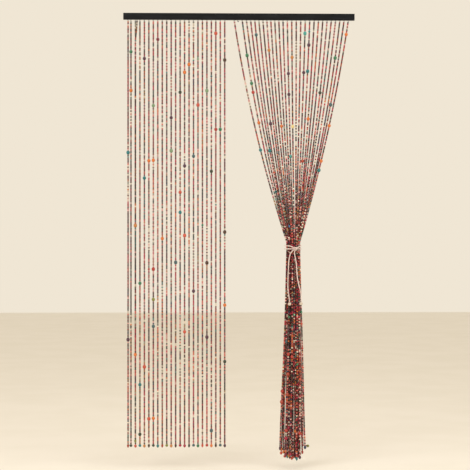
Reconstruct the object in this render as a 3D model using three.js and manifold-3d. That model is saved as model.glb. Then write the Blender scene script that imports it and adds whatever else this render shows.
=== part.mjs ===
// A bead door curtain on its hanging rail, in millimetres, +Z up.
// The origin is the middle of the rail's back face, +X runs to the right of someone facing the
// curtain and -Y points at them. The left half hangs straight, the right half is tied back.
import * as THREE from "three";
import { mergeVertices } from "three/addons/utils/BufferGeometryUtils.js";
import Module from "manifold-3d";

const wasm = await Module();
wasm.setup();

// Rail: one black bar with a groove in its underside that takes the two heading strips.
const RAIL_LENGTH = 1000;
const RAIL_HEIGHT = 28;
const RAIL_DEPTH = 15;
const RAIL_BOTTOM = -RAIL_HEIGHT / 2;
const GROOVE_WIDTH = 6;
const GROOVE_DEPTH = 5;
const GROOVE_END = 8;
const FIT_GAP = 0.3;

// Strands: a string of small beads on a thread, with a larger bead here and there and at the end.
const STRAND_SIDES = 4;
const STRAND_RADIUS = 3.2;
const ROOT = { radius: 1.5, length: 5, shoulder: 1.5, depth: 2 };
const LARGE_BEAD = { radius: 7, length: 16 };
const SMALL_BEAD = { radius: 5, length: 12 };
const END_BEAD = { radius: 6, length: 16, tipRadius: 2.5, tipLength: 1 };
const RING_STEP = 150;
const HANG_Y = -RAIL_DEPTH / 2;

// Straight half: the outermost strand, a regular row, and one more hung close beside the second
// of the row, which swings in front of it a little way down.
const LEFT_EDGE_X = -479.5;
const LEFT_ROW = { firstX: -467, pitch: 19.27, count: 22 };
const LEFT_DOUBLE = { beside: 1, offsetX: 7.2, forward: 10.7, settles: 110, rings: 5, shorter: 22 };
const LEFT_BOTTOM = -1862;

// Tied-back half: its outermost hook stands off, the next one is empty, then a row that is
// drawn a little to the left about its tenth hook.
const RIGHT_EDGE_X = -21.6;
const EMPTY_HOOK = { x: -6, length: 9, radius: 1.8 };
const RIGHT_ROW = { firstX: 13.4, pitch: 18.4, count: 26, drawn: 7.5, drawnAt: 10, drawnOver: 5 };
const SAG = { share: 0.35, spread: 0.03, turn: 1.9 };

// Waist: where the tie holds the strands, in two parcels with a slit between them. Each parcel
// stands in rows from front to back, which lie closer together towards the waist's sides.
const TIE_Z = -1002;
const WAIST_TOP = -975;
const WAIST_FOOT = -1011;
const WAIST_X = 231.6;
const WAIST_Y = -24.5;
const ROWS = { count: 5, skip: 2, pitch: 6.8, squeeze: 0.3, halfWidth: 30 };
const PARCELS = [
  { count: 14, left: 205, right: 237, firstRow: 0 },
  { count: 13, left: 243.6, right: 260.2, firstRow: 2 },
];

// Foot of the tied-back half: below the tie the strands spread into five groups, sway a little
// and come forward. They end highest at the two sides, and one end has turned aside.
const RIGHT_BOTTOM = -1905;
const FOOT_GROUPS = [
  { count: 4, left: 174, right: 188 },
  { count: 10, left: 196.5, right: 232 },
  { count: 10, left: 237, right: 262.5 },
  { count: 2, left: 271, right: 275.5 },
  { count: 1, left: 287, right: 287 },
];
const FOOT_HALF_WIDTH = 57;
const SPREAD_POWER = 1.2;
const DEEPER = 0.6;
const FORWARD = 6;
const SWAY = { reach: 2.6, waves: 6, turn: 2.4 };
const END_LIFT = { edge: 34, power: 4, scatter: 9, turn: 2.7 };
const TURNED_END = { strand: 25, z: -1853, length: 32, angle: 1.43, rings: 3 };

// Tie: one cord wrapped twice and knotted in front, with two tails that end in a round bead.
const CORD_RADIUS = 2.25;
const CORD_SIDES = 8;
const WRAP = { halfWidth: 35, halfDepth: 21.5, squareness: 3, points: 28 };
const WRAP_TURNS = [
  { side: -990, front: -1000.5 },
  { side: -1003.5, front: -1004 },
];
const KNOT = { x: 241, y: -49, z: -1002.6, width: 18, depth: 11.5, height: 15, sides: 12, rings: 8 };
const KNOT_REACH = 16;
const TAIL_BEAD = { radius: 7.5, sides: 14, rings: 10 };
const TAIL_STEPS = 21;

// Where larger beads sit: strand number from the left, then how far below the rail's middle.
const LEFT_BEADS = [
  { strand: 0, large: [588, 1395], small: [] },
  { strand: 1, large: [153, 320], small: [] },
  { strand: 3, large: [903, 1459], small: [] },
  { strand: 4, large: [1152, 1590, 1804], small: [] },
  { strand: 5, large: [182, 698, 1513], small: [] },
  { strand: 6, large: [623, 1737], small: [1091] },
  { strand: 7, large: [385, 621, 1091, 1222, 1338, 1735], small: [] },
  { strand: 8, large: [99], small: [] },
  { strand: 9, large: [959], small: [] },
  { strand: 11, large: [437, 580], small: [] },
  { strand: 12, large: [1062], small: [] },
  { strand: 13, large: [327, 759, 846], small: [] },
  { strand: 14, large: [241, 645, 946, 1362], small: [] },
  { strand: 15, large: [207], small: [] },
  { strand: 16, large: [603, 1186], small: [] },
  { strand: 17, large: [382], small: [183] },
  { strand: 18, large: [], small: [901] },
  { strand: 19, large: [320, 1064, 1385], small: [] },
  { strand: 20, large: [668, 1789], small: [258] },
  { strand: 21, large: [72, 487], small: [] },
  { strand: 22, large: [487], small: [] },
  { strand: 23, large: [187, 931, 1247, 1491], small: [] },
];
const RIGHT_BEADS = [
  { strand: 0, large: [577, 1616, 1662], small: [] },
  { strand: 1, large: [167, 288, 327, 459], small: [] },
  { strand: 2, large: [], small: [757] },
  { strand: 3, large: [579, 1403], small: [674] },
  { strand: 4, large: [78], small: [] },
  { strand: 5, large: [463, 1457, 1543, 1630, 1785, 1818], small: [1297] },
  { strand: 7, large: [144], small: [] },
  { strand: 8, large: [1775], small: [906, 1282] },
  { strand: 9, large: [473], small: [] },
  { strand: 10, large: [1468], small: [1329] },
  { strand: 12, large: [245, 335, 604], small: [] },
  { strand: 13, large: [175, 475], small: [753, 1288] },
  { strand: 16, large: [71, 241, 1789], small: [1267] },
  { strand: 17, large: [121, 235, 624], small: [63] },
  { strand: 18, large: [442], small: [1501] },
  { strand: 21, large: [328], small: [1677] },
  { strand: 23, large: [1797], small: [1296, 1565] },
  { strand: 24, large: [177], small: [] },
  { strand: 25, large: [380], small: [] },
  { strand: 26, large: [75, 471, 624, 664], small: [1276, 1327, 1432, 1515, 1602] },
];

// Free tails of the tie, from the knot down to their beads, points chosen by eye.
const TAIL_LEFT = [
  [233.3, -51.2, -1007.3],
  [224, -49.5, -1016.5],
  [218, -48, -1028],
  [214.5, -47, -1043],
  [212, -46.6, -1062],
  [211, -46.5, -1084],
  [210, -46.5, -1108],
  [209, -46.5, -1133],
  [208.3, -46.6, -1156],
  [209, -47, -1178],
  [211.4, -48, -1198],
  [213.8, -49.6, -1216],
  [215.5, -51, -1232.4],
];
const TAIL_RIGHT = [
  [238.6, -51, -1010.3],
  [236.8, -50, -1020],
  [238.2, -48.6, -1032],
  [241.2, -47.4, -1045],
  [244, -46.8, -1062],
  [246, -46.5, -1082],
  [247.4, -46.5, -1103],
  [249, -46.5, -1124],
  [252.4, -46.6, -1144],
  [257.2, -46.8, -1164],
  [262, -47.4, -1182],
  [265, -48.6, -1199],
  [265.5, -50, -1216],
  [264.9, -51, -1231],
];

const blackRail = new THREE.MeshStandardMaterial({ color: 0x2a2826, roughness: 0.7, metalness: 0 });
const leftBeads = new THREE.MeshStandardMaterial({ color: 0x7b4a42, roughness: 0.55, metalness: 0 });
const rightBeads = new THREE.MeshStandardMaterial({ color: 0x6e403c, roughness: 0.55, metalness: 0 });
const creamCord = new THREE.MeshStandardMaterial({ color: 0xd9c9b2, roughness: 0.9, metalness: 0 });
const creamBead = new THREE.MeshStandardMaterial({ color: 0xe4d9c4, roughness: 0.6, metalness: 0 });

const MERGE_REACH = 1e-4;
const curtain = new THREE.Group();

function addPiece(name, geometry, material) {
  const mesh = new THREE.Mesh(geometry, material);
  mesh.name = name;
  curtain.add(mesh);
}

// A closed geometry as a solid that can be joined and cut.
function solidOf(geometry) {
  const bare = geometry.clone();
  bare.deleteAttribute("normal");
  bare.deleteAttribute("uv");
  const merged = mergeVertices(bare, MERGE_REACH);
  return new wasm.Manifold(new wasm.Mesh({
    numProp: 3,
    vertProperties: new Float32Array(merged.attributes.position.array),
    triVerts: new Uint32Array(merged.index.array),
  }));
}

function geometryOf(solid) {
  const mesh = solid.getMesh();
  const geometry = new THREE.BufferGeometry();
  geometry.setAttribute("position", new THREE.BufferAttribute(mesh.vertProperties, 3));
  geometry.setIndex(new THREE.BufferAttribute(mesh.triVerts, 1));
  return geometry;
}

function boxBetween(low, high) {
  const geometry = new THREE.BoxGeometry(high[0] - low[0], high[1] - low[1], high[2] - low[2]);
  return geometry.translate((low[0] + high[0]) / 2, (low[1] + high[1]) / 2, (low[2] + high[2]) / 2);
}

function railGeometry() {
  const bar = boxBetween(
    [-RAIL_LENGTH / 2, -RAIL_DEPTH, RAIL_BOTTOM],
    [RAIL_LENGTH / 2, 0, RAIL_HEIGHT / 2],
  );
  const grooveReach = RAIL_LENGTH / 2 - GROOVE_END;
  const groove = boxBetween(
    [-grooveReach, HANG_Y - GROOVE_WIDTH / 2, RAIL_BOTTOM - 1],
    [grooveReach, HANG_Y + GROOVE_WIDTH / 2, RAIL_BOTTOM + GROOVE_DEPTH],
  );
  return geometryOf(solidOf(bar).subtract(solidOf(groove)));
}

// Heading strip: it lies in the rail's groove and carries the roots of one half's strands.
function headingStrip(left, right) {
  const reach = GROOVE_WIDTH / 2 - FIT_GAP;
  return boxBetween(
    [left, HANG_Y - reach, RAIL_BOTTOM],
    [right, HANG_Y + reach, RAIL_BOTTOM + GROOVE_DEPTH - FIT_GAP],
  );
}

// Radius and height of each ring of a strand, from its tip up to its root in the strip. Bends
// are heights where the route turns, and every step more rings follow the route between them.
function strandProfile({ bottom, beads, bends = [], step = Infinity }) {
  const top = RAIL_BOTTOM - ROOT.length;
  const swellings = [
    ...beads.large.map((drop) => ({ z: -drop, ...LARGE_BEAD })),
    ...beads.small.map((drop) => ({ z: -drop, ...SMALL_BEAD })),
  ];
  const rings = [];
  for (const bead of swellings) {
    rings.push([STRAND_RADIUS, bead.z - bead.length / 2]);
    rings.push([bead.radius, bead.z]);
    rings.push([STRAND_RADIUS, bead.z + bead.length / 2]);
  }
  const stretch = top - (bottom + END_BEAD.length);
  const steps = Math.round(stretch / step);
  const between = [...bends];
  for (let count = 1; count < steps; count += 1) between.push(top - (stretch * count) / steps);
  for (const z of between) {
    const clear = swellings.every((bead) => Math.abs(bead.z - z) > bead.length);
    if (clear) rings.push([STRAND_RADIUS, z]);
  }
  rings.sort((one, other) => one[1] - other[1]);
  return [
    [0, bottom],
    [END_BEAD.tipRadius, bottom + END_BEAD.tipLength],
    [END_BEAD.radius, bottom + END_BEAD.length / 2],
    [STRAND_RADIUS, bottom + END_BEAD.length],
    ...rings,
    [STRAND_RADIUS, top],
    [ROOT.radius, top + ROOT.shoulder],
    [ROOT.radius, RAIL_BOTTOM + ROOT.depth],
    [0, RAIL_BOTTOM + ROOT.depth],
  ].map(([radius, z]) => new THREE.Vector2(radius, z));
}

// A strand is turned about an upright axis, then each ring is set on the strand's route.
function strandGeometry(profile, route) {
  const geometry = new THREE.LatheGeometry(profile, STRAND_SIDES);
  geometry.rotateX(Math.PI / 2);
  const place = geometry.attributes.position;
  for (let k = 0; k < place.count; k += 1) {
    const [x, y] = route(place.getZ(k));
    place.setXY(k, place.getX(k) + x, place.getY(k) + y);
  }
  return geometry;
}

function beadsOn(table, strand) {
  return table.find((row) => row.strand === strand) ?? { large: [], small: [] };
}

// Routes give a strand's x and y at a height. The straight half's are plumb but for the double,
// which leaves its hook beside its neighbour and ends a little higher.
function leftCourses() {
  const plumb = (x) => ({ route: () => [x, HANG_Y], bottom: LEFT_BOTTOM });
  const courses = [plumb(LEFT_EDGE_X)];
  for (let number = 0; number < LEFT_ROW.count; number += 1) {
    const x = LEFT_ROW.firstX + LEFT_ROW.pitch * number;
    courses.push(plumb(x));
    if (number === LEFT_DOUBLE.beside) courses.push(doubleCourse(x));
  }
  return courses;
}

function doubleCourse(besideX) {
  const settled = (z) => THREE.MathUtils.smoothstep(RAIL_BOTTOM - z, 0, LEFT_DOUBLE.settles);
  const bends = [];
  for (let ring = 1; ring <= LEFT_DOUBLE.rings; ring += 1) {
    bends.push(RAIL_BOTTOM - (LEFT_DOUBLE.settles * ring) / LEFT_DOUBLE.rings);
  }
  return {
    route: (z) => [
      besideX + LEFT_DOUBLE.offsetX * (1 - settled(z)),
      HANG_Y - LEFT_DOUBLE.forward * settled(z),
    ],
    bends,
    bottom: LEFT_BOTTOM + LEFT_DOUBLE.shorter,
  };
}

function rightHookX(strand) {
  if (strand === 0) return RIGHT_EDGE_X;
  const number = strand - 1;
  const away = (number - RIGHT_ROW.drawnAt) / RIGHT_ROW.drawnOver;
  return RIGHT_ROW.firstX + RIGHT_ROW.pitch * number - RIGHT_ROW.drawn * Math.exp(-away * away);
}

// Where a strand stands in a row of groups: its group, its number there and, as the strands of a
// group stand at an even step from left to right, its x.
function placeIn(groups, strand) {
  let number = strand;
  let index = 0;
  while (number >= groups[index].count) {
    number -= groups[index].count;
    index += 1;
  }
  const { count, left, right } = groups[index];
  return { index, number, x: left + ((right - left) * number) / Math.max(1, count - 1) };
}

// Place of a strand at the waist, as x and how far behind the middle. From left to right each one
// stands two rows behind the one before, starting over at the front, so that neighbours keep apart.
function waistPlace(strand) {
  const { index, number, x } = placeIn(PARCELS, strand);
  const row = (PARCELS[index].firstRow + ROWS.skip * number) % ROWS.count;
  const squeeze = 1 - ROWS.squeeze * ((x - WAIST_X) / ROWS.halfWidth) ** 2;
  return [x, (row - (ROWS.count - 1) / 2) * ROWS.pitch * squeeze];
}

// Above the waist a strand leans in along a sagging line, below it the bunch spreads.
function rightRoute(strand) {
  const hookX = rightHookX(strand);
  const footX = placeIn(FOOT_GROUPS, strand).x;
  const [waistX, back] = waistPlace(strand);
  const sag = SAG.share + SAG.spread * Math.sin(SAG.turn * strand);
  return (z) => {
    if (z > WAIST_TOP) {
      const down = Math.max(0, (RAIL_BOTTOM - z) / (RAIL_BOTTOM - WAIST_TOP));
      const lean = (1 - sag) * down + sag * down * down;
      return [hookX + (waistX - hookX) * lean, HANG_Y + (WAIST_Y + back - HANG_Y) * lean];
    }
    const below = Math.max(0, (TIE_Z - z) / (TIE_Z - RIGHT_BOTTOM));
    const spread = below ** SPREAD_POWER;
    const sway = SWAY.reach * below * Math.sin(SWAY.waves * below + SWAY.turn * strand);
    return [
      waistX + (footX - waistX) * spread + sway,
      WAIST_Y + back + (back * DEEPER - FORWARD) * spread ** 2,
    ];
  };
}

// The bunch ends highest at its two sides, and a little unevenly.
function rightBottom(strand) {
  if (strand === TURNED_END.strand) return TURNED_END.z - TURNED_END.length;
  const aside = Math.abs(placeIn(FOOT_GROUPS, strand).x - WAIST_X) / FOOT_HALF_WIDTH;
  const scatter = END_LIFT.scatter * Math.sin(END_LIFT.turn * strand);
  return RIGHT_BOTTOM + END_LIFT.edge * aside ** END_LIFT.power + scatter;
}

// Rings of the one end that turns aside: where it turns, and evenly from there to its end bead.
function turnedRings(bottom) {
  const rings = [];
  const length = TURNED_END.z - (bottom + END_BEAD.length);
  for (let ring = 0; ring < TURNED_END.rings; ring += 1) {
    rings.push(TURNED_END.z - (length * ring) / TURNED_END.rings);
  }
  return rings;
}

// Swings what hangs below a point of the strand up to the right, about that point.
function turnAside(geometry, route) {
  const [pivotX] = route(TURNED_END.z);
  const sine = Math.sin(TURNED_END.angle);
  const cosine = Math.cos(TURNED_END.angle);
  const place = geometry.attributes.position;
  for (let k = 0; k < place.count; k += 1) {
    const across = place.getX(k) - pivotX;
    const drop = TURNED_END.z - place.getZ(k);
    if (drop > 0) {
      place.setX(k, pivotX + across * cosine + drop * sine);
      place.setZ(k, TURNED_END.z + across * sine - drop * cosine);
    }
  }
  return geometry;
}

function joined(geometries) {
  return geometries.map(solidOf).reduce((whole, next) => whole.add(next));
}

function leftStrands() {
  const strands = leftCourses().map(({ route, bottom, bends }, strand) => {
    const beads = beadsOn(LEFT_BEADS, strand);
    return strandGeometry(strandProfile({ bottom, beads, bends }), route);
  });
  const lastX = LEFT_ROW.firstX + LEFT_ROW.pitch * (LEFT_ROW.count - 1);
  const strip = headingStrip(LEFT_EDGE_X - GROOVE_WIDTH, lastX + GROOVE_WIDTH);
  return geometryOf(joined([strip, ...strands]));
}

function emptyHook() {
  const bottom = RAIL_BOTTOM - EMPTY_HOOK.length;
  const profile = [
    [0, bottom],
    [EMPTY_HOOK.radius, bottom],
    [EMPTY_HOOK.radius, RAIL_BOTTOM + ROOT.depth],
    [0, RAIL_BOTTOM + ROOT.depth],
  ].map(([radius, z]) => new THREE.Vector2(radius, z));
  return strandGeometry(profile, () => [EMPTY_HOOK.x, HANG_Y]);
}

function rightStrands() {
  const strands = [];
  for (let strand = 0; strand <= RIGHT_ROW.count; strand += 1) {
    const route = rightRoute(strand);
    const bottom = rightBottom(strand);
    const turned = strand === TURNED_END.strand;
    const profile = strandProfile({
      bottom,
      beads: beadsOn(RIGHT_BEADS, strand),
      bends: [WAIST_TOP, WAIST_FOOT, ...(turned ? turnedRings(bottom) : [])],
      step: RING_STEP,
    });
    const geometry = strandGeometry(profile, route);
    strands.push(turned ? turnAside(geometry, route) : geometry);
  }
  const lastX = rightHookX(RIGHT_ROW.count);
  const strip = headingStrip(RIGHT_EDGE_X - GROOVE_WIDTH, lastX + GROOVE_WIDTH);
  return geometryOf(joined([strip, emptyHook(), ...strands]));
}

function cordSection(radius, sides) {
  const section = new THREE.Shape();
  for (let side = 0; side < sides; side += 1) {
    const turn = (2 * Math.PI * side) / sides;
    const corner = [radius * Math.cos(turn), radius * Math.sin(turn)];
    if (side === 0) section.moveTo(...corner);
    else section.lineTo(...corner);
  }
  section.closePath();
  return section;
}

function cordAlong(curve, steps) {
  return new THREE.ExtrudeGeometry(cordSection(CORD_RADIUS, CORD_SIDES), {
    extrudePath: curve,
    steps,
    bevelEnabled: false,
  });
}

// One turn of the wrap: a rounded oblong about the waist, dipping to the knot in front.
function wrapTurn(turn) {
  const points = [];
  const power = 2 / WRAP.squareness;
  for (let k = 0; k < WRAP.points; k += 1) {
    const angle = (2 * Math.PI * k) / WRAP.points;
    const across = Math.cos(angle);
    const back = Math.sin(angle);
    const x = WAIST_X + WRAP.halfWidth * Math.sign(across) * Math.abs(across) ** power;
    const y = WAIST_Y + WRAP.halfDepth * Math.sign(back) * Math.abs(back) ** power;
    const dip = back < 0 ? Math.exp(-(((x - KNOT.x) / KNOT_REACH) ** 2)) : 0;
    points.push(new THREE.Vector3(x, y, turn.side + (turn.front - turn.side) * dip));
  }
  const curve = new THREE.CatmullRomCurve3(points, true);
  return cordAlong(curve, WRAP.points);
}

function knotGeometry() {
  const knot = new THREE.SphereGeometry(0.5, KNOT.sides, KNOT.rings);
  knot.scale(KNOT.width, KNOT.depth, KNOT.height);
  return knot.translate(KNOT.x, KNOT.y, KNOT.z);
}

function tieWrap() {
  return geometryOf(joined([knotGeometry(), ...WRAP_TURNS.map(wrapTurn)]));
}

function tailCurve(points) {
  return new THREE.CatmullRomCurve3(points.map((point) => new THREE.Vector3(...point)));
}

function tailBead(points) {
  const [x, y, z] = points[points.length - 1];
  const bead = new THREE.SphereGeometry(TAIL_BEAD.radius, TAIL_BEAD.sides, TAIL_BEAD.rings);
  bead.rotateX(Math.PI / 2);
  return bead.translate(x, y, z - TAIL_BEAD.radius - FIT_GAP);
}

addPiece("rail", railGeometry(), blackRail);
addPiece("strands_left", leftStrands(), leftBeads);
addPiece("strands_right", rightStrands(), rightBeads);
addPiece("tie_wrap", tieWrap(), creamCord);
addPiece("tie_tail_left", cordAlong(tailCurve(TAIL_LEFT), TAIL_STEPS), creamCord);
addPiece("tie_tail_right", cordAlong(tailCurve(TAIL_RIGHT), TAIL_STEPS), creamCord);
addPiece("tie_bead_left", tailBead(TAIL_LEFT), creamBead);
addPiece("tie_bead_right", tailBead(TAIL_RIGHT), creamBead);

export default curtain;
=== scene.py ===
import bpy
import numpy as np
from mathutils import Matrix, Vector


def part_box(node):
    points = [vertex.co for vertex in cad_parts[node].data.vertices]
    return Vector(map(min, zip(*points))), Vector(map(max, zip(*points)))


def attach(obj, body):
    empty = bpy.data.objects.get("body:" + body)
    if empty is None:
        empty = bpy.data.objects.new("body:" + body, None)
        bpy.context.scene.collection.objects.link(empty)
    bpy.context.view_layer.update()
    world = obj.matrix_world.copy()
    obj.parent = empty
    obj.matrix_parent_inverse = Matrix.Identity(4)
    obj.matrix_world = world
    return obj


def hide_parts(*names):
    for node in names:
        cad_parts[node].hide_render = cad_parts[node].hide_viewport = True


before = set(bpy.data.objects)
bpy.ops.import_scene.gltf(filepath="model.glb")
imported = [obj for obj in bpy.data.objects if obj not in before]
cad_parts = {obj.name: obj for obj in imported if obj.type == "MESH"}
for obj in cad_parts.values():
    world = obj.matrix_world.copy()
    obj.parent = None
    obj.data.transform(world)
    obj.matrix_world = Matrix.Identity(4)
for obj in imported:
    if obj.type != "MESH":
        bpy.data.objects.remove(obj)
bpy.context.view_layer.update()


# Camera. A long lens looks almost straight at the curtain from half its height, a little from
# the left, so that the rail spans half the picture and the strings stay plumb.
MM = 0.001
LENS_DISTANCE = 6.0
PICTURE_WIDTH = 2.035
PICTURE_CENTRE = Vector((-0.0177, 0.0, -0.9437))
CAMERA_SIDE_TURN = np.radians(1.6)

camera = bpy.data.objects.new("camera", bpy.data.cameras.new("camera"))
bpy.context.collection.objects.link(camera)
bpy.context.scene.camera = camera
camera.data.sensor_width = 36
camera.data.lens = camera.data.sensor_width * LENS_DISTANCE / PICTURE_WIDTH
towards_camera = Vector((-np.sin(CAMERA_SIDE_TURN), -np.cos(CAMERA_SIDE_TURN), 0))
camera.location = PICTURE_CENTRE + towards_camera * LENS_DISTANCE
camera.rotation_mode = "QUATERNION"
camera.rotation_quaternion = (-towards_camera).to_track_quat("-Z", "Y")


# Free tails of the tie. Undyed cotton cord of three plies, it leaves the knot on both sides and
# hangs down the front of the gathered strings, and each end carries a round bead.
CORD_WIDTH = 4.5
PLY_DEPTH, PLY_SWELL = 0.2, 1.3
PLY_LAY = 13
CORD_SIDES = 18
KNOT_STEPS = 150
STOP_KNOT_SIZE, STOP_KNOT_CORD_WIDTH = 7.5, CORD_WIDTH * 0.62
# step of the right tail's path at which its stopper knot is tied
STOP_KNOT_STEP = 84
TAIL_BEAD_WIDTH, TAIL_BEAD_FLATNESS = 15, 0.97
TAIL_BEAD_RINGS, TAIL_BEAD_SIDES = 18, 28
FIT_GAP = 0.3
TAIL_LEFT = [
    (233.3, -51.2, -1007.3), (224, -49.5, -1016.5), (218, -48, -1028), (214.5, -47, -1043),
    (212, -46.6, -1062), (211, -46.5, -1084), (210, -46.5, -1108), (209, -46.5, -1133),
    (208.3, -46.6, -1156), (209, -47, -1178), (211.4, -48, -1198), (213.8, -49.6, -1216),
    (215.5, -51, -1232.4),
]
TAIL_RIGHT = [
    (238.6, -51, -1010.3), (236.8, -50, -1020), (238.2, -48.6, -1032), (241.2, -47.4, -1045),
    (244, -46.8, -1062), (246, -46.5, -1082), (247.4, -46.5, -1103), (249, -46.5, -1124),
    (252.4, -46.6, -1144), (257.2, -46.8, -1164), (262, -47.4, -1182), (265, -48.6, -1199),
    (265.5, -50, -1216), (264.9, -51, -1231),
]
COTTON_PALE = "ecdad3"
COTTON_SHADE = "b8a096"
BEECH_PALE = "d8cabb"
BEECH_GRAIN = "b9a792"
# painted shade at the tail beads' two ends, where the holes would be
BEECH_HOLE_PAINTED_SHADE = "5d4a35"


def tint(code):
    """A web colour as linear red, green, blue and alpha: each channel is undone from sRGB."""
    channels = np.array([int(code[k:k + 2], 16) for k in (0, 2, 4)]) / 255
    linear = np.where(channels < 0.04045, channels / 12.92, ((channels + 0.055) / 1.055) ** 2.4)
    return (*linear.tolist(), 1.0)


def piece_of(name, points, corners, sizes, extra=None):
    """A mesh of points in millimetres. Corners lists every face's points one after another and
    sizes how many each face has; extra holds values kept on the points, by name."""
    mesh = bpy.data.meshes.new(name)
    mesh.vertices.add(len(points))
    mesh.vertices.foreach_set("co", (points * MM).astype(np.float32).ravel())
    mesh.loops.add(len(corners))
    mesh.loops.foreach_set("vertex_index", corners.astype(np.int32))
    mesh.polygons.add(len(sizes))
    starts = np.concatenate([[0], np.cumsum(sizes)[:-1]])
    mesh.polygons.foreach_set("loop_start", starts.astype(np.int32))
    mesh.update(calc_edges=True)
    mesh.validate()
    mesh.shade_smooth()
    for label, values in (extra or {}).items():
        kind = "FLOAT_COLOR" if values.ndim == 2 else "FLOAT"
        kept = mesh.attributes.new(label, kind, "POINT")
        field = "color" if values.ndim == 2 else "value"
        kept.data.foreach_set(field, values.astype(np.float32).ravel())
    made = bpy.data.objects.new(name, mesh)
    bpy.context.collection.objects.link(made)
    return made


def through(points, spans=8):
    """A smooth path through hand-set points: each span is a cubic whose slopes at its two ends
    are half the step between the points on either side."""
    points = np.array(points, float)
    ends = np.vstack([2 * points[0] - points[1], points, 2 * points[-1] - points[-2]])
    before, start, stop, after = ends[:-3, None], ends[1:-2, None], ends[2:-1, None], ends[3:, None]
    t = np.linspace(0, 1, spans, endpoint=False)[None, :, None]
    path = 0.5 * (2 * start + (stop - before) * t
                  + (2 * before - 5 * start + 4 * stop - after) * t ** 2
                  + (3 * start - before - 3 * stop + after) * t ** 3)
    return np.vstack([path.reshape(-1, 3), points[-1]])


def lengths_along(path):
    """Distance of each point of a path from its start."""
    return np.concatenate([[0], np.cumsum(np.linalg.norm(np.diff(path, axis=0), axis=1))])


def directions(path, closed):
    """Unit direction of a path at each point, from its two neighbours."""
    if closed:
        step = np.roll(path, -1, axis=0) - np.roll(path, 1, axis=0)
    else:
        step = np.gradient(path, axis=0)
    return step / np.linalg.norm(step, axis=1, keepdims=True)


def carried(path, section, upright, closed=False):
    """A section carried along a path: point = path + across * section x + over * section y, where
    across is square to the path and to the upright vector. Section is steps x sides x 2."""
    along = directions(path, closed)
    across = np.cross(along, upright)
    across /= np.linalg.norm(across, axis=1, keepdims=True)
    over = np.cross(across, along)
    points = (path[:, None] + across[:, None] * section[..., :1] + over[:, None] * section[..., 1:])
    steps, sides = section.shape[:2]
    ring = np.arange(sides)
    turned = np.roll(ring, -1)
    rows = np.arange(steps if closed else steps - 1)[:, None]
    after = (rows + 1) % steps
    quads = np.stack([rows * sides + ring, after * sides + ring,
                      after * sides + turned, rows * sides + turned], axis=-1).reshape(-1, 4)
    corners, sizes = [quads.ravel()], [np.full(len(quads), 4)]
    if not closed:
        corners += [ring, (steps - 1) * sides + ring[::-1]]
        sizes += [[sides], [sides]]
    return points.reshape(-1, 3), np.concatenate(corners), np.concatenate(sizes)


def plied(path, width, closed=False):
    """Section of a three-ply cord: its radius dips by the ply depth and swells by a part more than
    that, as the size of the cosine of one and a half turns, so three times a turn, and the
    swellings wind once round in each lay length."""
    along = lengths_along(path)
    whole = along[-1] + (np.linalg.norm(path[0] - path[-1]) if closed else 0)
    turns = max(1, round(whole / PLY_LAY))
    angle = np.linspace(0, 2 * np.pi, CORD_SIDES, endpoint=False)[None]
    wound = angle - (2 * np.pi * turns * along / whole)[:, None]
    radius = width / 2 * (1 - PLY_DEPTH + PLY_SWELL * PLY_DEPTH * np.abs(np.cos(1.5 * wound)))
    return np.stack([radius * np.cos(angle), radius * np.sin(angle)], axis=-1)


class Wire:
    """One output in a material. Arithmetic on it adds Math nodes, and node adds any other kind."""

    def __init__(self, tree, socket):
        self.tree = tree
        self.socket = socket

    def node(self, kind, settings, inputs, output=0):
        made = self.tree.nodes.new("ShaderNode" + kind)
        for name, value in settings.items():
            setattr(made, name, value)
        for name, value in inputs.items():
            if isinstance(value, Wire):
                self.tree.links.new(value.socket, made.inputs[name])
            else:
                made.inputs[name].default_value = value
        return Wire(self.tree, made.outputs[output])

    def maths(self, operation, *values):
        return self.node("Math", {"operation": operation}, dict(enumerate(values)))

    def __add__(self, other):
        return self.maths("ADD", self, other)

    def __rsub__(self, other):
        return self.maths("SUBTRACT", other, self)

    def __mul__(self, other):
        return self.maths("MULTIPLY", self, other)

    def between(self, low, high):
        """Goes from 0 to 1 as this goes from low to high."""
        limits = {"Value": self, "From Min": low, "From Max": high}
        return self.node("MapRange", {"interpolation_type": "SMOOTHSTEP"}, limits)

    def mix(self, first, second, blend="MIX"):
        """First colour where this is 0 and second where it is 1."""
        settings = {"data_type": "RGBA", "blend_type": blend}
        return self.node("Mix", settings, {0: self, 6: first, 7: second}, output=2)

    def noise(self, scale, detail=3.0, stretch=(1, 1, 1)):
        """Soft noise over this wire's coordinates, finer with scale, drawn out by stretch."""
        place = self.node("Mapping", {}, {"Vector": self, "Scale": stretch})
        return place.node("TexNoise", {}, {"Vector": place, "Scale": scale, "Detail": detail})

    def bump(self, strength, distance):
        """This as the height of a bump, in metres of distance."""
        return self.node("Bump", {}, {"Height": self, "Strength": strength, "Distance": distance})


def finish(name, **fixed):
    """A new material, the wire of its object coordinates, and a way to set its shader."""
    material = bpy.data.materials.new(name)
    material.use_nodes = True
    tree = material.node_tree
    shader = tree.nodes["Principled BSDF"]
    place = Wire(tree, tree.nodes.new("ShaderNodeTexCoord").outputs["Object"])

    def dress(**varying):
        for label, value in {**fixed, **varying}.items():
            socket = shader.inputs[label.replace("_", " ")]
            if isinstance(value, Wire):
                tree.links.new(value.socket, socket)
            else:
                socket.default_value = value
        return material

    return place, dress


def cotton():
    """Undyed cotton: pale, a little browner in places, with fine fibres and hardly a gloss."""
    place, dress = finish("cotton_cord", Sheen_Weight=0.3, Specular_IOR_Level=0.2)
    fibres = place.noise(1500, detail=4, stretch=(1, 1, 0.35))
    dirt = place.noise(60, detail=2)
    colour = (fibres * 0.6 + dirt * 0.5).between(0.35, 0.75).mix(tint(COTTON_SHADE), tint(COTTON_PALE))
    return dress(Base_Color=colour, Roughness=fibres * 0.2 + 0.78, Normal=fibres.bump(0.5, 0.0004))


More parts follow.
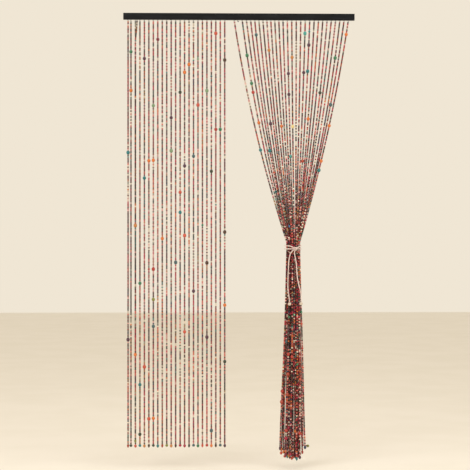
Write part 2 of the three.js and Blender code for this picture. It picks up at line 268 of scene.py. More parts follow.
def beads_turned(centres, axes, widths, lengths, along, radius, sides, extra=None):
    """Many beads turned about their own axes: point = centre + axis * along * half length
    + side * radius * half width. Along and radius are one profile, or one for each bead, that
    starts and ends on the axis. Gives points, corners, sizes and the values on the points."""
    count = len(centres)
    along = np.broadcast_to(along, (count, np.shape(along)[-1]))
    radius = np.broadcast_to(radius, along.shape)
    first = np.cross(axes, (0.0, 1.0, 0.0))
    flat = np.linalg.norm(first, axis=1) < 1e-6
    first[flat] = (1.0, 0.0, 0.0)
    first /= np.linalg.norm(first, axis=1, keepdims=True)
    second = np.cross(axes, first)
    angle = 2 * np.pi * np.arange(sides) / sides
    round_it = (first[:, None] * np.cos(angle)[:, None] + second[:, None] * np.sin(angle)[:, None])
    shaft = centres[:, None] + axes[:, None] * (along * lengths[:, None] / 2)[..., None]
    reach = (radius * widths[:, None] / 2)[:, 1:-1, None, None]
    rings = shaft[:, 1:-1, None] + reach * round_it[:, None]
    body = rings.reshape(count, -1, 3)
    points = np.concatenate([shaft[:, :1], body, shaft[:, -1:]], axis=1)
    each = points.shape[1]
    ring, turned = np.arange(sides), np.roll(np.arange(sides), -1)
    low = 1 + sides * np.arange(along.shape[1] - 3)[:, None]
    quads = np.stack([low + ring, low + turned, low + sides + turned, low + sides + ring], axis=-1)
    last = each - 1 - sides
    foot = np.stack([np.zeros(sides, int), 1 + turned, 1 + ring], axis=-1)
    head = np.stack([last + ring, last + turned, np.full(sides, each - 1)], axis=-1)
    corners = np.concatenate([foot.ravel(), quads.ravel(), head.ravel()])
    sizes = np.concatenate([np.full(sides, 3), np.full(quads.size // 4, 4), np.full(sides, 3)])
    offset = each * np.arange(count)[:, None]
    kept = {label: np.repeat(value, each, axis=0) for label, value in (extra or {}).items()}
    ends = np.abs(along)
    kept["bead_end"] = np.concatenate(
        [ends[:, :1], np.repeat(ends[:, 1:-1], sides, axis=1), ends[:, -1:]], axis=1).ravel()
    return points.reshape(-1, 3), (corners + offset).ravel(), np.tile(sizes, count), kept


def beech():
    """Bare pale wood, turned and sanded: fine grain along the bore, and painted shade darkening it at
    the two holes.
    """
    place, dress = finish("pale_wood", Coat_Weight=0.15, Coat_Roughness=0.3)
    grain = place.noise(500, detail=5, stretch=(1, 1, 0.2))
    end = place.node("Attribute", {"attribute_name": "bead_end"}, {}, output=2)
    wood = grain.between(0.3, 0.7).mix(tint(BEECH_GRAIN), tint(BEECH_PALE))
    # painted shade at both ends of the bead, where the hole and the cord going into it would be
    colour = end.between(0.9, 1.0).mix(wood, tint(BEECH_HOLE_PAINTED_SHADE))
    return dress(Base_Color=colour, Roughness=grain * 0.2 + 0.4, Normal=grain.bump(0.15, 0.0003))


def round_profile(rings):
    """A ball's profile: along is minus the cosine of an angle that goes half round, and radius
    its sine, so that the steps are even on the surface."""
    angle = np.linspace(0, np.pi, rings)
    return -np.cos(angle), np.sin(angle)


cotton_cord = cotton()
pale_wood = beech()


def tail(name, points, replaced, bead_replaced, stop_at=None):
    """One free end: the cord, the round bead on it and, where the cord has one, a stopper knot."""
    path = through(points)
    cord = piece_of(name, *carried(path, plied(path, CORD_WIDTH), (0, 1, 0)))
    cord.data.materials.append(cotton_cord)
    end = np.array([points[-1]]) - (0, 0, TAIL_BEAD_WIDTH / 2 + FIT_GAP)
    width = np.array([float(TAIL_BEAD_WIDTH)])
    upright = np.array([(0.0, 0.0, 1.0)])
    points_in, corners, sizes, kept = beads_turned(
        end, upright, width, width * TAIL_BEAD_FLATNESS, *round_profile(TAIL_BEAD_RINGS),
        TAIL_BEAD_SIDES)
    bead = piece_of(name + "_bead", points_in, corners, sizes, kept)
    bead.data.materials.append(pale_wood)
    on_it = [bead]
    if stop_at is not None:
        on_it.append(
            overhand(name + "_stop_knot", path[stop_at], STOP_KNOT_SIZE, STOP_KNOT_CORD_WIDTH))
    for piece in (cord, *on_it):
        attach(piece, "root")
        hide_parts(bead_replaced if piece is bead else replaced)


def overhand(name, centre, size, width, depth=0.6):
    """A knot pulled tight, as a trefoil: x is the sine of one turn and twice the sine of two, z
    the cosine of one less twice the cosine of two, and y goes to and fro three times. That is
    within 3 of its middle each way, so a sixth of the size scales it."""
    turn = np.linspace(0, 2 * np.pi, KNOT_STEPS, endpoint=False)
    loop = np.stack([
        np.sin(turn) + 2 * np.sin(2 * turn),
        -depth * 3 * np.sin(3 * turn),
        np.cos(turn) - 2 * np.cos(2 * turn),
    ], axis=1)
    path = np.array(centre) + loop * (size / 6)
    made = piece_of(name, *carried(path, plied(path, width, closed=True), (0, 1, 0), closed=True))
    made.data.materials.append(cotton_cord)
    return made


tail("tie_tail_cord_left", TAIL_LEFT, "tie_tail_left", "tie_bead_left")
tail("tie_tail_cord_right", TAIL_RIGHT, "tie_tail_right", "tie_bead_right", stop_at=STOP_KNOT_STEP)


# Rail. A flat wooden bar stained matt black, planed square, with a groove underneath; its grain
# runs along it, and the stain is a little paler in long streaks.
RAIL_BLACK = "090a0c"
RAIL_WORN = "202226"


def black_stain():
    """Black stained wood: long grain lines, faint cloudiness and a dull, uneven sheen."""
    place, dress = finish("black_stained_wood", Specular_IOR_Level=0.15)
    grain = place.noise(420, detail=6, stretch=(0.06, 1, 1))
    cloud = place.noise(60, detail=3, stretch=(0.15, 1, 1))
    shade = (grain * 0.55 + cloud * 0.45).between(0.38, 0.72)
    colour = (shade * 0.7).mix(tint(RAIL_BLACK), tint(RAIL_WORN))
    return dress(Base_Color=colour, Roughness=grain * 0.25 + 0.5, Normal=grain.bump(0.35, 0.0005))


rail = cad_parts["rail"]
rail.data.materials.clear()
rail.data.materials.append(black_stain())
rail_low, rail_high = (np.array(corner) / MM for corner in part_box("rail"))
RAIL_BOTTOM = rail_low[2]
HANG_Y = (rail_low[1] + rail_high[1]) / 2


# Where the strings hang. The straight half drops plumb from a row of hooks, with a second string
# swung in front of one; the other half leans in to the waist and spreads again below the tie.
LEFT_EDGE_X = -479.5
LEFT_ROW = {"first": -467, "pitch": 19.27, "count": 22}
LEFT_DOUBLE = {"beside": 1, "offset": 7.2, "forward": 10.7, "settles": 110, "shorter": 22}
LEFT_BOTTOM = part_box("strands_left")[0][2] / MM
RIGHT_EDGE_X = -21.6
RIGHT_ROW = {"first": 13.4, "pitch": 18.4, "count": 26, "drawn": 7.5, "at": 10, "over": 5}
SAG = {"share": 0.35, "spread": 0.03, "turn": 1.9}
TIE_Z = -1002
WAIST_TOP = -975
WAIST_X, WAIST_Y = 231.6, -24.5
ROWS = {"count": 5, "skip": 2, "pitch": 6.8, "squeeze": 0.3, "half_width": 30}
# strings in a parcel at the waist, its first and last string's x, row of its first string
PARCELS = [(14, 205, 237, 0), (13, 243.6, 260.2, 2)]
RIGHT_BOTTOM = -1905
# strings in a group at the foot, its first and last string's x
FOOT_GROUPS = [(4, 174, 188), (10, 196.5, 232), (10, 237, 262.5), (2, 271, 275.5), (1, 287, 287)]
FOOT_HALF_WIDTH = 57
SPREAD_POWER, DEEPER, FORWARD = 1.2, 0.6, 6
SWAY = {"reach": 2.6, "waves": 6, "turn": 2.4}
END_LIFT = {"edge": 34, "power": 4, "scatter": 9, "turn": 2.7}
TURNED_END = {"string": 25, "z": -1853, "length": 32, "angle": 1.43}


def plumb(x):
    """A course straight down from a hook."""
    return {"hook": x, "bottom": LEFT_BOTTOM,
            "course": lambda z: (np.full_like(z, x), np.full_like(z, HANG_Y))}


def doubled(beside):
    """A course that leaves its hook beside another string and swings in front of it: aside by
    3 t^2 - 2 t^3 of the way down to where it settles, and forward by the root of that, so that
    the beads of the two strings roll round each other."""
    def course(z):
        down = np.clip((RAIL_BOTTOM - z) / LEFT_DOUBLE["settles"], 0, 1)
        settled = down ** 2 * (3 - 2 * down)
        x = beside + LEFT_DOUBLE["offset"] * (1 - settled)
        return x, HANG_Y - LEFT_DOUBLE["forward"] * np.sqrt(settled)
    return {"hook": beside + LEFT_DOUBLE["offset"], "course": course,
            "bottom": LEFT_BOTTOM + LEFT_DOUBLE["shorter"]}


def left_courses():
    row = [LEFT_ROW["first"] + LEFT_ROW["pitch"] * n for n in range(LEFT_ROW["count"])]
    courses = [plumb(x) for x in (LEFT_EDGE_X, *row)]
    courses.insert(2 + LEFT_DOUBLE["beside"], doubled(row[LEFT_DOUBLE["beside"]]))
    return courses


def place_in(groups, string):
    """A string's group, its number there and, at an even step from left to right, its x."""
    number, index = string, 0
    while number >= groups[index][0]:
        number -= groups[index][0]
        index += 1
    count, left, right = groups[index][:3]
    return index, number, left + (right - left) * number / max(1, count - 1)


def waist_place(string):
    """Place at the waist, as x and how far behind the middle: from left to right each string
    stands two rows behind the one before, starting over at the front."""
    index, number, x = place_in(PARCELS, string)
    row = (PARCELS[index][3] + ROWS["skip"] * number) % ROWS["count"]
    squeeze = 1 - ROWS["squeeze"] * ((x - WAIST_X) / ROWS["half_width"]) ** 2
    return x, (row - (ROWS["count"] - 1) / 2) * ROWS["pitch"] * squeeze


def right_hook(string):
    """The row's even step, drawn a little to the left in a bell shape about its eleventh hook."""
    number = string - 1
    away = (number - RIGHT_ROW["at"]) / RIGHT_ROW["over"]
    even = RIGHT_ROW["first"] + RIGHT_ROW["pitch"] * number
    return RIGHT_EDGE_X if string == 0 else even - RIGHT_ROW["drawn"] * np.exp(-away ** 2)


def gathered(string):
    """A course that leans in to the waist along a sagging line, a share of the way that is part
    straight and part square, then spreads by a power of the way down, sways and comes forward."""
    hook = right_hook(string)
    waist_x, back = waist_place(string)
    foot_x = place_in(FOOT_GROUPS, string)[2]
    sag = SAG["share"] + SAG["spread"] * np.sin(SAG["turn"] * string)

    def course(z):
        down = np.maximum(0, (RAIL_BOTTOM - z) / (RAIL_BOTTOM - WAIST_TOP))
        lean = (1 - sag) * down + sag * down ** 2
        below = np.maximum(0, (TIE_Z - z) / (TIE_Z - RIGHT_BOTTOM))
        spread = below ** SPREAD_POWER
        sway = SWAY["reach"] * below * np.sin(SWAY["waves"] * below + SWAY["turn"] * string)
        x = np.where(z > WAIST_TOP, hook + (waist_x - hook) * lean,
                     waist_x + (foot_x - waist_x) * spread + sway)
        y = np.where(z > WAIST_TOP, HANG_Y + (WAIST_Y + back - HANG_Y) * lean,
                     WAIST_Y + back + (back * DEEPER - FORWARD) * spread ** 2)
        return x, y

    aside = abs(foot_x - WAIST_X) / FOOT_HALF_WIDTH
    bottom = (RIGHT_BOTTOM + END_LIFT["edge"] * aside ** END_LIFT["power"]
              + END_LIFT["scatter"] * np.sin(END_LIFT["turn"] * string))
    turned = string == TURNED_END["string"]
    if turned:
        bottom = TURNED_END["z"] - TURNED_END["length"]
    return {"hook": hook, "course": course, "bottom": bottom, "turned": turned}


def run_of(string, top):
    """A string's path from a height to its end, a point a millimetre, with the lengths along it
    and how far below the rail's middle each point hangs before the one turned end is swung up
    about its pivot: what hangs below is turned by an angle, to the right."""
    z = np.arange(top, string["bottom"] - 0.5, -1.0)
    path = np.stack([*string["course"](z), z], axis=1)
    if string.get("turned"):
        below = z < TURNED_END["z"]
        pivot = path[np.argmax(below)]
        drop = pivot[2] - z[below]
        across = path[below, 0] - pivot[0]
        sine, cosine = np.sin(TURNED_END["angle"]), np.cos(TURNED_END["angle"])
        path[below, 0] = pivot[0] + across * cosine + drop * sine
        path[below, 2] = pivot[2] + across * sine - drop * cosine
    return path, lengths_along(path), -z


def at_lengths(path, along, wanted):
    """Points and upward directions of a path at wanted lengths along it."""
    def pick(values):
        return np.stack([np.interp(wanted, along, values[:, k]) for k in range(3)], axis=1)

    upward = pick(-directions(path, closed=False))
    return pick(path), upward / np.linalg.norm(upward, axis=1, keepdims=True)


left_strings = left_courses()
right_strings = [gathered(string) for string in range(RIGHT_ROW["count"] + 1)]


# Heading strips, hooks and threads. Each half's strip sits in the rail's groove and carries a row
# of small dark wire eyes; a waxed thread hangs from each eye and runs down its whole string.
STRIP_HALF_WIDTH, STRIP_DEPTH, STRIP_PAST_HOOKS = 2.7, 4.7, 6
STRIP_CORNERS, STRIP_POWER, STRIP_STEPS = 16, 0.35, 60
EYE_RADIUS, EYE_WIRE, EYE_SUNK = 2.4, 1.2, 0.9
EYE_STEPS = 16
WIRE_SIDES, HOOK_SIDES = 6, 8
THREAD_WIDTH, THREAD_SHORT, THREAD_STEPS = 1.1, 4, 90
EMPTY_HOOK_X = -6
EMPTY_HOOK_WIRE = 2.2
# aside from the hook's place and up from the rail's underside
EMPTY_HOOK_BEND = [(0, 1), (0, -4), (0.4, -6.6), (2, -7.8), (3.4, -6.4), (3.6, -4.6)]
WIRE_BLACK, WIRE_BROWN = "1b1918", "3a2f27"
WAX_DARK, WAX_PALE = "3b2a24", "6d5546"


def wire_metal():
    """Blackened steel wire, dull, with a trace of brown."""
    place, dress = finish("blackened_wire", Metallic=0.7)
    spots = place.noise(700, detail=2)
    colour = spots.between(0.4, 0.65).mix(tint(WIRE_BLACK), tint(WIRE_BROWN))
    return dress(Base_Color=colour, Roughness=spots * 0.3 + 0.4)


def waxed_thread():
    """Dark waxed thread with a fine twist."""
    place, dress = finish("waxed_thread")
    twist = place.noise(2500, detail=2, stretch=(1, 1, 0.4))
    colour = twist.between(0.35, 0.7).mix(tint(WAX_DARK), tint(WAX_PALE))
    return dress(Base_Color=colour, Roughness=0.65, Normal=twist.bump(0.3, 0.0002))


def together(parts):
    """Several meshes, as points, corners and sizes, in one."""
    offsets = np.cumsum([0] + [len(points) for points, _, _ in parts[:-1]])
    return (np.concatenate([points for points, _, _ in parts]),
            np.concatenate([corners + offset for (_, corners, _), offset in zip(parts, offsets)]),
            np.concatenate([sizes for _, _, sizes in parts]))


def ring_section(steps, sides, width):
    """The same circle at each step of a path."""
    angle = 2 * np.pi * np.arange(sides) / sides
    circle = np.stack([width / 2 * np.cos(angle), width / 2 * np.sin(angle)], axis=-1)
    return np.broadcast_to(circle, (steps, sides, 2))


def strip_bar(left, right):
    """The strip: a rounded oblong, sides and height each a power of the cosine and sine, carried
    along the groove."""
    def squared(wave):
        return np.sign(wave) * np.abs(wave) ** STRIP_POWER

    angle = 2 * np.pi * (np.arange(STRIP_CORNERS) + 0.5) / STRIP_CORNERS
    section = np.stack([STRIP_HALF_WIDTH * squared(np.cos(angle)),
                        STRIP_DEPTH / 2 * squared(np.sin(angle))], axis=-1)
    x = np.linspace(left, right, STRIP_STEPS)
    middle_z = RAIL_BOTTOM + STRIP_DEPTH / 2
    path = np.stack([x, np.full_like(x, HANG_Y), np.full_like(x, middle_z)], axis=1)
    return carried(path, np.broadcast_to(section, (len(x), *section.shape)), (0, 0, 1))


def eye_loop(x):
    """A wire eye: a closed ring that hangs flat to the rail, its top in the strip."""
    turn = np.linspace(0, 2 * np.pi, EYE_STEPS, endpoint=False)
    path = np.stack([x + EYE_RADIUS * np.cos(turn), np.full_like(turn, HANG_Y),
                     RAIL_BOTTOM - EYE_RADIUS * EYE_SUNK + EYE_RADIUS * np.sin(turn)], axis=1)
    return carried(path, ring_section(EYE_STEPS, WIRE_SIDES, EYE_WIRE), (0, 1, 0), closed=True)


def open_hook(x):
    """The hook with no string: a short shank that turns up again at its end."""
    path = through([(x + aside, HANG_Y, RAIL_BOTTOM + up) for aside, up in EMPTY_HOOK_BEND])
    return carried(path, ring_section(len(path), HOOK_SIDES, EMPTY_HOOK_WIRE), (0, 1, 0))


def thread_line(string):
    """The thread of one string, from its eye to just inside its end bead."""
    path, along, _ = run_of(string, RAIL_BOTTOM - EYE_RADIUS)
    places, _ = at_lengths(path, along, np.linspace(0, along[-1] - THREAD_SHORT, THREAD_STEPS))
    return carried(places, ring_section(THREAD_STEPS, WIRE_SIDES, THREAD_WIDTH), (0, 1, 0))


def hang_row(side, strings, replaced, more=()):
    hooks = [string["hook"] for string in strings]
    bar = strip_bar(min(hooks) - STRIP_PAST_HOOKS, max(hooks) + STRIP_PAST_HOOKS)
    row = piece_of(f"hook_row_{side}", *together([bar, *map(eye_loop, hooks), *more]))
    row.data.materials.append(blackened_wire)
    threads = piece_of(f"threads_{side}", *together([*map(thread_line, strings)]))
    threads.data.materials.append(thread_wax)
    for piece, slot in ((row, "rail_black"), (threads, "beads")):
        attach(piece, "root")
        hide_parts(replaced)


blackened_wire = wire_metal()
thread_wax = waxed_thread()
hang_row("left", left_strings, "strands_left")
hang_row("right", right_strings, "strands_right", more=[open_hook(EMPTY_HOOK_X)])


# Small beads. Dyed and varnished wooden beads threaded close together, most of them dark reds,
# browns and greens and mixed as they are threaded. For a stretch a string may keep to one dye, or
# take two or three beads in turn so that a pale or bright one comes up again and again.
SMALL_WIDTH, SMALL_PITCH = 7.6, 6.4
NARROWEST, BEAD_SHARE_OF_PITCH = 0.93, 0.98
SMALL_SIDES = 8
SMALL_ALONG = np.array([-1, -0.87, 0, 0.87, 1])
SMALL_RADIUS = np.array([0, 0.86, 1, 0.86, 0])
FIRST_BEAD_DROP = 7
STRINGS_A_PIECE = 9
BEAD_SEED = 3
STRETCH = (3, 20)
REPEATS, REPEAT_SHARES = [1, 2, 3], [0.36, 0.42, 0.22]
MINGLE, STRAY = 0.8, 0.2
LIKING_SPREAD = 0.5
DARKEST, PALEST = 0.8, 1.2
DYE_IN_GRAIN = (0.12, 0.07, 0.05, 1)
# dark at the bead ends: dye gathered at the holes, and painted shade where neighbouring beads meet
END_DYE_AND_PAINTED_SHADE = (0.02, 0.012, 0.01, 1)
# dye, share as a stretch's main one, share as the one that comes up between
DYES = {
    "umber": ("482419", 0.16, 0.05), "moss": ("33322a", 0.10, 0.05),
    "burgundy": ("661f22", 0.18, 0.06), "brick": ("98382f", 0.18, 0.09),
    "slate": ("57534d", 0.06, 0.05), "sage": ("9a9684", 0.04, 0.07),
    "coral": ("d06659", 0.05, 0.13), "orange": ("cc6a2e", 0.02, 0.05),
    "ochre": ("a97a44", 0.02, 0.04), "plum": ("602e46", 0.06, 0.04),
    "navy": ("303750", 0.02, 0.02), "teal": ("447c78", 0.01, 0.01),
    "crimson": ("b22a42", 0.08, 0.11), "rose": ("e2aca4", 0.02, 0.13),
    "cream": ("ecdac4", 0.0, 0.14),
}


def dyed_wood(name, gloss, grain_scale):
    """Dyed wood under varnish: the bead's own colour, darker where dye sits in the grain, a little
    uneven from place to place, under a thin clear coat, and darker towards the holes, partly by
    dye gathered there and partly by painted shade where each bead meets its neighbours."""
    place, dress = finish(name, Coat_Weight=gloss, Coat_Roughness=0.15, Specular_IOR_Level=0.25)
    own = place.node("Attribute", {"attribute_name": "bead_colour"}, {})
    end = place.node("Attribute", {"attribute_name": "bead_end"}, {}, output=2)
    grain = place.noise(grain_scale, detail=4, stretch=(1, 1, 0.25))
    dark = grain.between(0.35, 0.62)
    stained = ((1 - dark) * 0.45).mix(own, DYE_IN_GRAIN, blend="MULTIPLY")
    # towards each hole the colour darkens: partly dye gathered there, partly painted shade in the
    # crevice between beads
    colour = (end.between(0.72, 1.0) * 0.75).mix(stained, END_DYE_AND_PAINTED_SHADE)
    return dress(Base_Color=colour, Roughness=grain * 0.3 + 0.28, Normal=grain.bump(0.2, 0.0002))


def filled(edges, pitch):
    """Middles and lengths of beads that fill each free stretch between two edges evenly."""
    middles, lengths = [], []
    for start, stop in zip(edges[::2], edges[1::2]):
        count = max(1, round((stop - start) / pitch))
        step = (stop - start) / count
        middles.append(start + step * (np.arange(count) + 0.5))
        lengths.append(np.full(count, step * BEAD_SHARE_OF_PITCH))
    return np.concatenate(middles), np.concatenate(lengths)


def dyes_along(count, dice):
    """Colours of beads in threading order. Stretches follow one another, each with a main dye, a
    second one and a repeat: every bead that ends a repeat of two or three has the second dye. Of
    the other beads a share takes a main dye at random, and of all beads a share a second one. Each
    string likes some dyes better than the shares say, and each bead's dye is a little paler or
    darker than its neighbour's."""
    main_share, second_share = (np.array([row[k] for row in DYES.values()]) for k in (1, 2))
    liking = main_share * dice.lognormal(0, LIKING_SPREAD, len(DYES))
    main = dice.choice(len(DYES), count, p=liking / liking.sum())
    second = dice.choice(len(DYES), count, p=second_share / second_share.sum())
    repeat = dice.choice(REPEATS, count, p=REPEAT_SHARES)
    order = np.arange(count)
    stretch = np.searchsorted(np.cumsum(dice.integers(*STRETCH, count)), order, side="right")
    ends_repeat = (order % repeat[stretch] == repeat[stretch] - 1) & (repeat[stretch] > 1)
    mingled = np.where(dice.random(count) < MINGLE, main, main[stretch])
    dye = np.where(ends_repeat, second[stretch], mingled)
    dye = np.where(dice.random(count) < STRAY, second, dye)
    inks = np.array([tint(row[0]) for row in DYES.values()])[dye]
    inks[:, :3] *= dice.uniform(DARKEST, PALEST, (count, 1))
    return inks


def small_beads(string, larger, dice):
    """Centres, axes, widths, lengths and colours of one string's small beads."""
    path, along, drops = run_of(string, RAIL_BOTTOM - FIRST_BEAD_DROP)
    edges = [0.0]
    for _, drop, width, _ in larger:
        middle = np.interp(drop, drops, along)
        edges += [middle - width * LARGER_LENGTH / 2, middle + width * LARGER_LENGTH / 2]
    edges.append(along[-1] - END_LENGTH)
    wanted, lengths = filled(sorted(edges), SMALL_PITCH)
    places, axes = at_lengths(path, along, wanted)
    widths = SMALL_WIDTH * dice.uniform(NARROWEST, 1.0, len(wanted))
    return places, axes, widths, lengths, dyes_along(len(wanted), dice)


def string_beads(side, strings, larger, dice):
    """The small beads of one half, a few strings to a piece."""
    for first in range(0, len(strings), STRINGS_A_PIECE):
        columns = []
        for number in range(first, min(first + STRINGS_A_PIECE, len(strings))):
            own = [row for row in larger if row[0] == number]
            columns.append(small_beads(strings[number], own, dice))
        places, axes, widths, lengths, inks = (np.concatenate(part) for part in zip(*columns))
        made = piece_of(f"small_beads_{side}_{first // STRINGS_A_PIECE + 1}", *beads_turned(
            places, axes, widths, lengths, SMALL_ALONG, SMALL_RADIUS, SMALL_SIDES,
            {"bead_colour": inks}))
        made.data.materials.append(small_wood)
        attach(made, "root")
        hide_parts(f"strands_{side}")


small_wood = dyed_wood("dyed_small_wood", gloss=0.2, grain_scale=900)


# Larger beads. Rounded and double-coned wooden beads in stronger dyes, threaded here and there on
# the strings and each a little longer than wide. A drop, ball or double cone closes every string.
LARGER_LENGTH = 1.22
LARGER_RINGS, LARGER_SIDES = 11, 16
CONE_POWER, CONE_SHARE = 1.15, 0.35
DROP_SLIMMER = 0.22
BALL_EVERY = 3
END_WIDTH, END_LENGTH = 12.4, 16
BRIGHT = {
    "teal": "26777a", "plum": "553444", "green": "3f7b55", "orange": "dc7630", "tan": "c98444",
    "olive": "8a8a3e", "brick": "a8432f", "slate": "4a6468", "coral": "cb563f", "brown": "4f3424",
    "sage": "7f9a74", "red": "b43c31", "crimson": "a9243f", "navy": "37405f", "cream": "ecd592",
    "turquoise": "4aa59b", "blue": "4d7fb0", "dark": "39402f", "wine": "7c2637", "mint": "7fc09a",
}
# string from the left, drop below the rail's middle, width, colour
LEFT_LARGER = [
    (0, 588, 15, "teal"), (0, 1395, 15, "plum"), (1, 153, 15, "green"), (1, 320, 15, "orange"),
    (3, 903, 15, "tan"), (3, 1459, 15, "orange"), (4, 1152, 15, "green"), (4, 1590, 15, "teal"),
    (4, 1804, 15, "dark"), (5, 182, 15, "plum"), (5, 698, 15, "teal"), (5, 1513, 15, "coral"),
    (6, 623, 15, "orange"), (6, 1091, 10, "red"), (6, 1737, 15, "coral"), (7, 385, 15, "sage"),
    (7, 621, 15, "orange"), (7, 1091, 15, "red"), (7, 1222, 15, "olive"), (7, 1338, 15, "slate"),
    (7, 1735, 15, "orange"), (8, 99, 15, "wine"), (9, 959, 15, "orange"), (11, 437, 15, "plum"),
    (11, 580, 15, "sage"), (12, 1062, 15, "slate"), (13, 327, 15, "dark"), (13, 759, 15, "coral"),
    (13, 846, 15, "teal"), (14, 241, 15, "orange"), (14, 645, 15, "plum"), (14, 946, 15, "coral"),
    (14, 1362, 15, "coral"), (15, 207, 15, "orange"), (16, 603, 15, "slate"),
    (16, 1186, 15, "plum"), (17, 382, 15, "coral"), (17, 183, 10, "sage"), (18, 901, 10, "green"),
    (19, 320, 15, "sage"), (19, 1064, 15, "brown"), (19, 1385, 15, "plum"), (20, 668, 15, "dark"),
    (20, 1789, 15, "slate"), (20, 258, 10, "slate"), (21, 72, 15, "coral"), (21, 487, 15, "red"),
    (22, 487, 15, "green"), (23, 187, 15, "brown"), (23, 931, 15, "brown"),
    (23, 1247, 15, "orange"), (23, 1491, 15, "dark"),
]
RIGHT_LARGER = [
    (0, 577, 15, "teal"), (0, 1616, 15, "red"), (0, 1662, 15, "brick"), (1, 167, 15, "green"),
    (1, 288, 15, "green"), (1, 327, 15, "red"), (1, 459, 15, "orange"), (2, 757, 10, "teal"),
    (3, 579, 15, "teal"), (3, 1403, 15, "slate"), (3, 674, 10, "coral"), (4, 78, 15, "slate"),
    (5, 463, 15, "plum"), (5, 1457, 15, "red"), (5, 1543, 15, "brick"), (5, 1630, 15, "brick"),
    (5, 1785, 15, "red"), (5, 1818, 15, "crimson"), (5, 1297, 10, "green"),
    (7, 144, 15, "tan"), (8, 1775, 15, "crimson"), (8, 906, 10, "blue"), (8, 1282, 10, "crimson"),
    (9, 473, 15, "orange"), (10, 1468, 15, "red"), (10, 1329, 10, "dark"),
    (12, 245, 15, "plum"), (12, 335, 15, "plum"), (12, 604, 15, "turquoise"),
    (13, 175, 15, "tan"), (13, 475, 15, "cream"), (13, 753, 10, "coral"), (13, 1288, 10, "mint"),
    (16, 71, 15, "turquoise"), (16, 241, 15, "plum"), (16, 1789, 15, "orange"),
    (16, 1267, 10, "red"), (17, 121, 15, "plum"), (17, 235, 15, "teal"), (17, 624, 15, "coral"),
    (17, 63, 10, "teal"), (18, 442, 15, "orange"), (18, 1501, 10, "green"),
    (21, 328, 15, "dark"), (21, 1677, 10, "wine"), (23, 1797, 15, "red"),
    (23, 1296, 10, "crimson"), (23, 1565, 10, "coral"), (24, 177, 15, "green"),
    (25, 380, 15, "slate"),
    (26, 75, 15, "orange"), (26, 471, 15, "orange"), (26, 624, 15, "orange"),
    (26, 664, 15, "teal"), (26, 1276, 10, "green"), (26, 1327, 10, "coral"),
    (26, 1432, 10, "red"), (26, 1515, 10, "coral"), (26, 1602, 10, "coral"),
]
LEFT_ENDS = ["brick", "dark", "coral", "olive", "teal", "tan", "brown", "dark", "teal", "brick",
             "olive", "tan", "brown", "crimson", "crimson", "dark", "slate", "green", "coral",
             "red", "orange", "brown", "slate", "plum"]
RIGHT_ENDS = ["plum", "orange", "coral", "orange", "red", "wine", "teal", "dark", "tan", "brown",
              "crimson", "coral", "dark", "brick", "wine", "slate", "dark", "crimson", "teal",
              "wine", "crimson", "red", "dark", "plum", "red", "olive", "navy"]


def bead_profile(kind):
    """Half widths of a bead from foot to head, t from -1 to 1: a ball is the root of 1 - t^2, a
    double cone a share of 1 less a power of the size of t and for the rest that root, and a drop a
    ball that is slimmer the nearer to its foot."""
    t = -np.cos(np.linspace(0, np.pi, LARGER_RINGS))
    ball = np.sqrt(np.maximum(0, 1 - t ** 2))
    cone = np.maximum(0, 1 - np.abs(t) ** CONE_POWER)
    shapes = {"ball": ball, "cone": cone * CONE_SHARE + ball * (1 - CONE_SHARE),
              "drop": ball * (1 - DROP_SLIMMER + DROP_SLIMMER * t)}
    return t, shapes[kind]


def larger_beads(side, strings, larger, ends):
    """Every larger bead and end bead of one half, in one piece. About one larger bead in three is
    a ball and the others are double cones, and end beads are drop, ball and cone in turn."""
    rows = []
    for number, drop, width, colour in larger:
        path, along, drops = run_of(strings[number], RAIL_BOTTOM)
        place, axis = at_lengths(path, along, [np.interp(drop, drops, along)])
        kind = "cone" if (number + drop) % BALL_EVERY else "ball"
        rows.append((place[0], axis[0], width, width * LARGER_LENGTH, kind, colour))
    for number, string in enumerate(strings):
        path, along, _ = run_of(string, RAIL_BOTTOM)
        kind = ("drop", "ball", "cone")[number % 3]
        length = END_LENGTH if kind != "ball" else END_WIDTH
        place, axis = at_lengths(path, along, [along[-1] - END_LENGTH + length / 2])
        rows.append((place[0], axis[0], END_WIDTH, length, kind, ends[number]))
    profiles = [bead_profile(row[4]) for row in rows]
    centres, axes, widths, lengths = (np.array([row[k] for row in rows], float) for k in range(4))
    inks = np.array([tint(BRIGHT[row[5]]) for row in rows])
    made = piece_of(f"larger_beads_{side}", *beads_turned(
        centres, axes, widths, lengths, np.array([along for along, _ in profiles]),
        np.array([radius for _, radius in profiles]), LARGER_SIDES, {"bead_colour": inks}))
    made.data.materials.append(larger_wood)
    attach(made, "root")
    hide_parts(f"strands_{side}")


larger_wood = dyed_wood("dyed_larger_wood", gloss=0.4, grain_scale=500)
dice = np.random.default_rng(BEAD_SEED)
string_beads("left", left_strings, LEFT_LARGER, dice)
string_beads("right", right_strings, RIGHT_LARGER, dice)
larger_beads("left", left_strings, LEFT_LARGER, LEFT_ENDS)
larger_beads("right", right_strings, RIGHT_LARGER, RIGHT_ENDS)


# Tie. One length of the same cotton cord, wrapped twice round the gathered strings and pulled
# into a flat knot in front, where both turns dip towards it.
WRAP_HALF_WIDTH, WRAP_HALF_DEPTH, WRAP_SQUARENESS = 35, 21.5, 3
WRAP_TURNS = [(-990, -1000.5), (-1003.5, -1004)]
KNOT_PLACE = (241, -49, -1002.6)
KNOT_REACH = 16
KNOT_SIZE, KNOT_DEPTH = 15, 0.35
WRAP_STEPS = 240


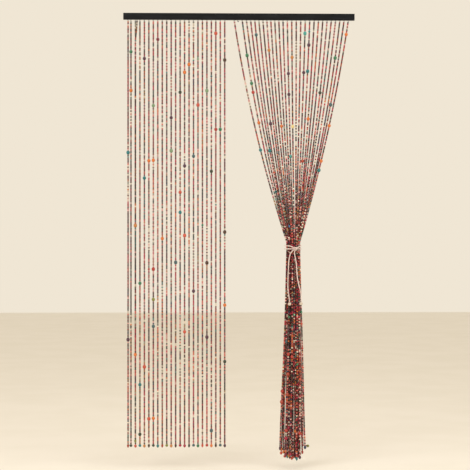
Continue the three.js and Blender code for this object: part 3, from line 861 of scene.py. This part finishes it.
def wrap_turn(side_z, front_z):
    """One turn: an oval whose sides are each a power of the cosine and sine, at one height but
    for a bell-shaped dip in front towards the knot."""
    angle = np.linspace(0, 2 * np.pi, WRAP_STEPS, endpoint=False)
    across, back = np.cos(angle), np.sin(angle)
    power = 2 / WRAP_SQUARENESS
    x = WAIST_X + WRAP_HALF_WIDTH * np.sign(across) * np.abs(across) ** power
    y = WAIST_Y + WRAP_HALF_DEPTH * np.sign(back) * np.abs(back) ** power
    dip = np.where(back < 0, np.exp(-((x - KNOT_PLACE[0]) / KNOT_REACH) ** 2), 0)
    path = np.stack([x, y, side_z + (front_z - side_z) * dip], axis=1)
    return carried(path, plied(path, CORD_WIDTH, closed=True), (0, 0, 1), closed=True)


wraps = piece_of("tie_cord_wraps", *together([wrap_turn(*turn) for turn in WRAP_TURNS]))
wraps.data.materials.append(cotton_cord)
knot = overhand("tie_cord_knot", KNOT_PLACE, KNOT_SIZE, CORD_WIDTH, depth=KNOT_DEPTH)
for piece in (wraps, knot):
    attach(piece, "root")
    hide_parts("tie_wrap")


# Floor and light. The curtain hangs just clear of a plain pale floor, in even daylight from a
# large soft lamp on each side and one above, with pale surroundings.
FLOOR_Z = -1.95
FLOOR_HALF = 12
FLOOR_CREAM, FLOOR_PALE = "ebe5da", "eee8de"
SURROUND, SURROUND_STRENGTH = "f2e8d6", 0.98
LAMPS = [
    {"name": "lamp_left", "place": (-3.2, -4.0, 1.2), "size": 3.0, "watts": 110},
    {"name": "lamp_right", "place": (3.4, -3.4, 0.4), "size": 3.0, "watts": 60},
    {"name": "lamp_top", "place": (0.3, -1.2, 2.6), "size": 2.0, "watts": 24},
]


def floor_paint():
    """Dull pale paint, hardly uneven."""
    place, dress = finish("floor_paint")
    cloud = place.noise(3, detail=2)
    colour = cloud.between(0.3, 0.7).mix(tint(FLOOR_CREAM), tint(FLOOR_PALE))
    return dress(Base_Color=colour, Roughness=0.9)


signs = [(-1, -1), (1, -1), (1, 1), (-1, 1)]
floor_corners = np.array([(x * FLOOR_HALF, y * FLOOR_HALF, FLOOR_Z) for x, y in signs]) / MM
floor = piece_of("floor", floor_corners, np.arange(4), np.array([4]))
floor.data.materials.append(floor_paint())

for lamp in LAMPS:
    light = bpy.data.lights.new(lamp["name"], "AREA")
    light.size = lamp["size"]
    light.energy = lamp["watts"]
    holder = bpy.data.objects.new(lamp["name"], light)
    holder.location = lamp["place"]
    aim = PICTURE_CENTRE - holder.location
    holder.rotation_mode = "QUATERNION"
    holder.rotation_quaternion = aim.to_track_quat("-Z", "Y")
    bpy.context.collection.objects.link(holder)

world = bpy.data.worlds.new("surroundings")
world.use_nodes = True
background = world.node_tree.nodes["Background"]
background.inputs["Color"].default_value = tint(SURROUND)
background.inputs["Strength"].default_value = SURROUND_STRENGTH
bpy.context.scene.world = world
bpy.context.scene.view_settings.view_transform = "Standard"
